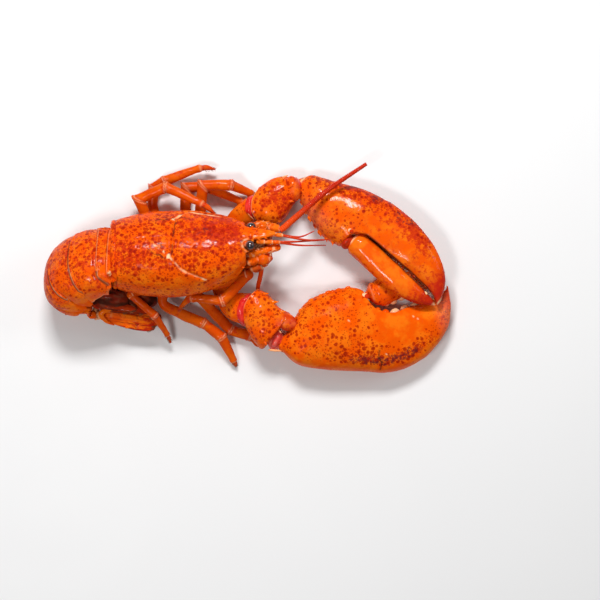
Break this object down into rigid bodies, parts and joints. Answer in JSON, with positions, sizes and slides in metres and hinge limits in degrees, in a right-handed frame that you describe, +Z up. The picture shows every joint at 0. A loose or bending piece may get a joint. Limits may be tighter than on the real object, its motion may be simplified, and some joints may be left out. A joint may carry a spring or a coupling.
{
  "type": "cooked lobster",
  "caption": "Whole cooked lobster lying on its left side, tail curled under, with a heavy crusher claw and a slimmer pincer claw closed in front of it.",
  "frame": {"origin": "middle of the whole lobster's box, on the surface it lies on", "axes": "+X the way the lobster faces, +Y its left, +Z up"},
  "size_m": [0.2821, 0.1451, 0.0589],
  "materials": {
    "cooked_shell": "glossy cooked shell, orange with dark red spots",
    "leg_shell": "satin thin leg shell, yellow orange",
    "joint_skin": "wet bright red joint skin",
    "antenna_horn": "ringed dark red horn",
    "eye_black": "glossy black"
  },
  "bodies": {
    "root": {"abdomen_1": "cooked_shell", "abdomen_2": "cooked_shell", "abdomen_3": "cooked_shell", "abdomen_4": "cooked_shell", "abdomen_5": "cooked_shell", "abdomen_6": "cooked_shell", "antenna_base_left": "cooked_shell", "antenna_base_right": "cooked_shell", "antenna_left": "antenna_horn", "antenna_right": "antenna_horn", "antennule_left": "antenna_horn", "antennule_right": "antenna_horn", "carapace": "cooked_shell", "carpus_left": "cooked_shell", "carpus_right": "cooked_shell", "dactyl_left": "cooked_shell", "dactyl_right": "cooked_shell", "elbow_skin_left": "joint_skin", "elbow_skin_right": "joint_skin", "eye_left": "eye_black", "eye_right": "eye_black", "leg_left_2_carpus": "leg_shell", "leg_left_2_foot": "leg_shell", "leg_left_2_merus": "leg_shell", "leg_left_3_carpus": "leg_shell", "leg_left_3_foot": "leg_shell", "leg_left_3_merus": "leg_shell", "leg_left_4_carpus": "leg_shell", "leg_left_4_foot": "leg_shell", "leg_left_4_merus": "leg_shell", "leg_left_5_carpus": "leg_shell", "leg_left_5_foot": "leg_shell", "leg_left_5_merus": "leg_shell", "leg_right_2_carpus": "leg_shell", "leg_right_2_foot": "leg_shell", "leg_right_2_merus": "leg_shell", "leg_right_3_carpus": "leg_shell", "leg_right_3_foot": "leg_shell", "leg_right_3_merus": "leg_shell", "leg_right_4_carpus": "leg_shell", "leg_right_4_foot": "leg_shell", "leg_right_4_merus": "leg_shell", "leg_right_5_carpus": "leg_shell", "leg_right_5_foot": "leg_shell", "leg_right_5_merus": "leg_shell", "maxilliped_left": "leg_shell", "maxilliped_right": "leg_shell", "merus_left": "cooked_shell", "merus_right": "cooked_shell", "propodus_left": "cooked_shell", "propodus_right": "cooked_shell", "sternum": "cooked_shell", "telson": "cooked_shell", "uropod_left_inner": "cooked_shell", "uropod_left_outer": "cooked_shell", "uropod_right_inner": "cooked_shell", "uropod_right_outer": "cooked_shell", "wrist_skin_right": "joint_skin"}
  },
  "joints": []
}
